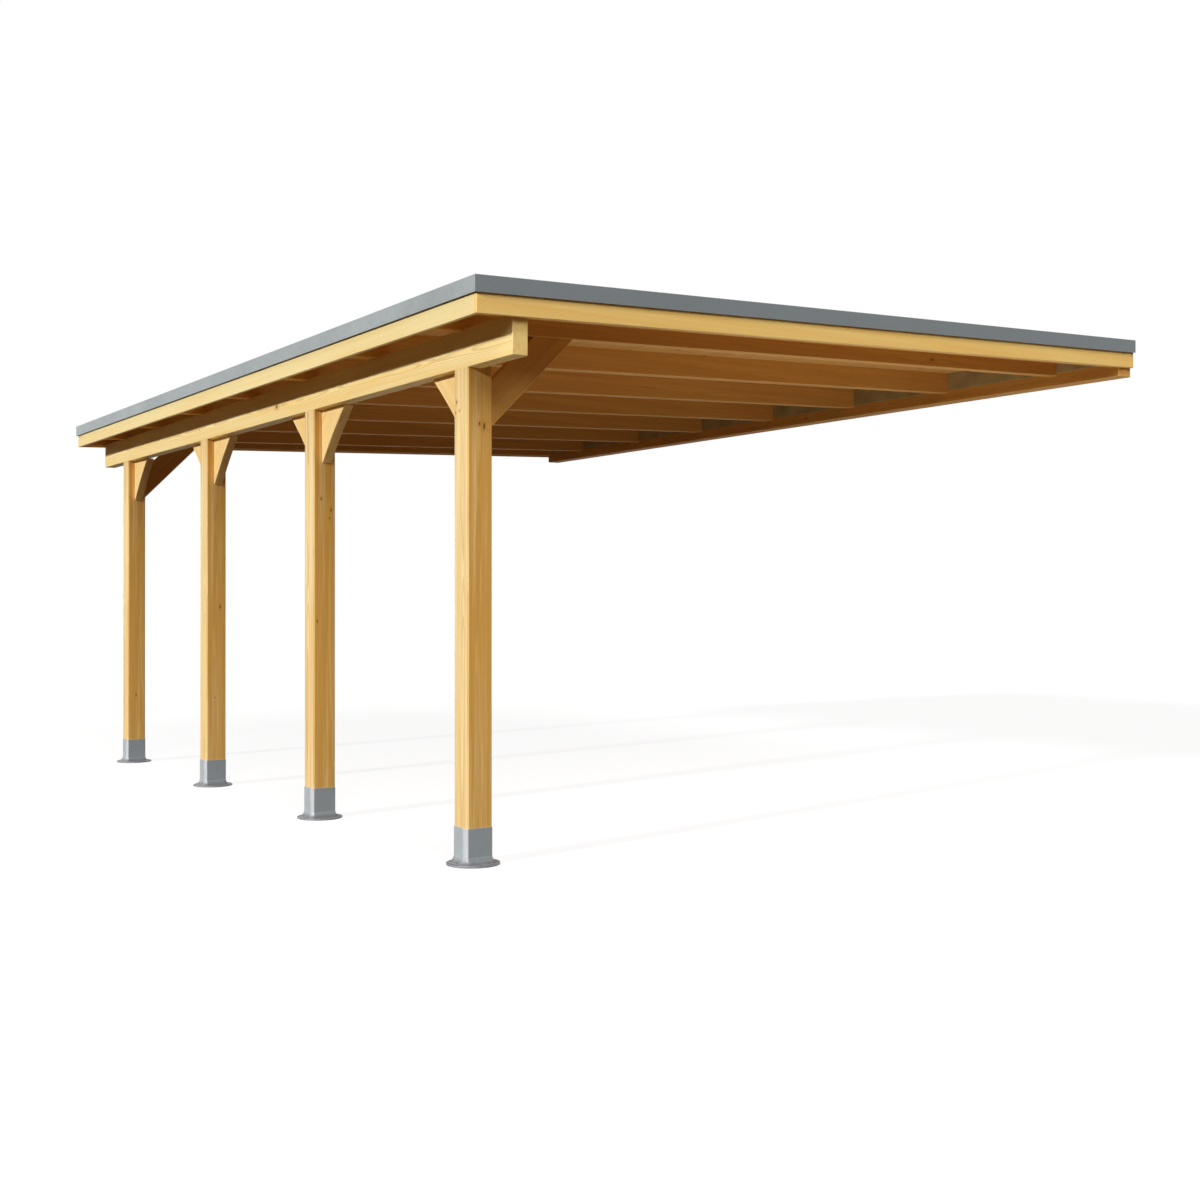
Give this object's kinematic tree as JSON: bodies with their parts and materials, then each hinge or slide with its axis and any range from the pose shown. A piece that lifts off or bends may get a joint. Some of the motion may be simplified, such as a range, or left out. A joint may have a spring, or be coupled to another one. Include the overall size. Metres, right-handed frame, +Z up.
{
  "type": "lean-to carport",
  "caption": "Lean-to timber carport: braced posts in steel bases carry an eave beam and low rafters that run to a wall beam, under a boarded roof with fascia boards and grey metal edge trim.",
  "frame": {"origin": "under the middle of the first post, on the underside of its base flange, at ground level", "axes": "+X from the posts to the wall, +Y along the eave from the near gable to the far gable, +Z up"},
  "size_m": [4.107, 5.925, 2.5432],
  "materials": {
    "frame_timber": "oiled softwood, satin",
    "fascia_boards": "planed softwood boards, satin",
    "deck_boards": "tongued boards, matt",
    "membrane": "matt sheet",
    "edge_trim": "blue-grey, satin",
    "base_steel": "galvanised"
  },
  "bodies": {
    "root": {"post_1": "frame_timber", "post_2": "frame_timber", "post_3": "frame_timber", "post_4": "frame_timber", "post_base_1": "base_steel", "post_base_2": "base_steel", "post_base_3": "base_steel", "post_base_4": "base_steel", "eave_beam": "frame_timber", "brace_1_far": "frame_timber", "brace_2_near": "frame_timber", "brace_2_far": "frame_timber", "brace_3_near": "frame_timber", "brace_3_far": "frame_timber", "brace_4_near": "frame_timber", "strut_1": "frame_timber", "strut_4": "frame_timber", "near_gable_rafter": "frame_timber", "rafter_1": "frame_timber", "rafter_2": "frame_timber", "rafter_3": "frame_timber", "rafter_4": "frame_timber", "rafter_5": "frame_timber", "rafter_6": "frame_timber", "rafter_7": "frame_timber", "far_gable_rafter": "frame_timber", "wall_beam": "frame_timber", "roof_deck": "deck_boards", "roof_membrane": "membrane", "eave_fascia": "fascia_boards", "near_gable_fascia": "fascia_boards", "far_gable_fascia": "fascia_boards", "eave_trim": "edge_trim", "near_gable_trim": "edge_trim", "far_gable_trim": "edge_trim", "wall_trim": "edge_trim"}
  },
  "joints": []
}
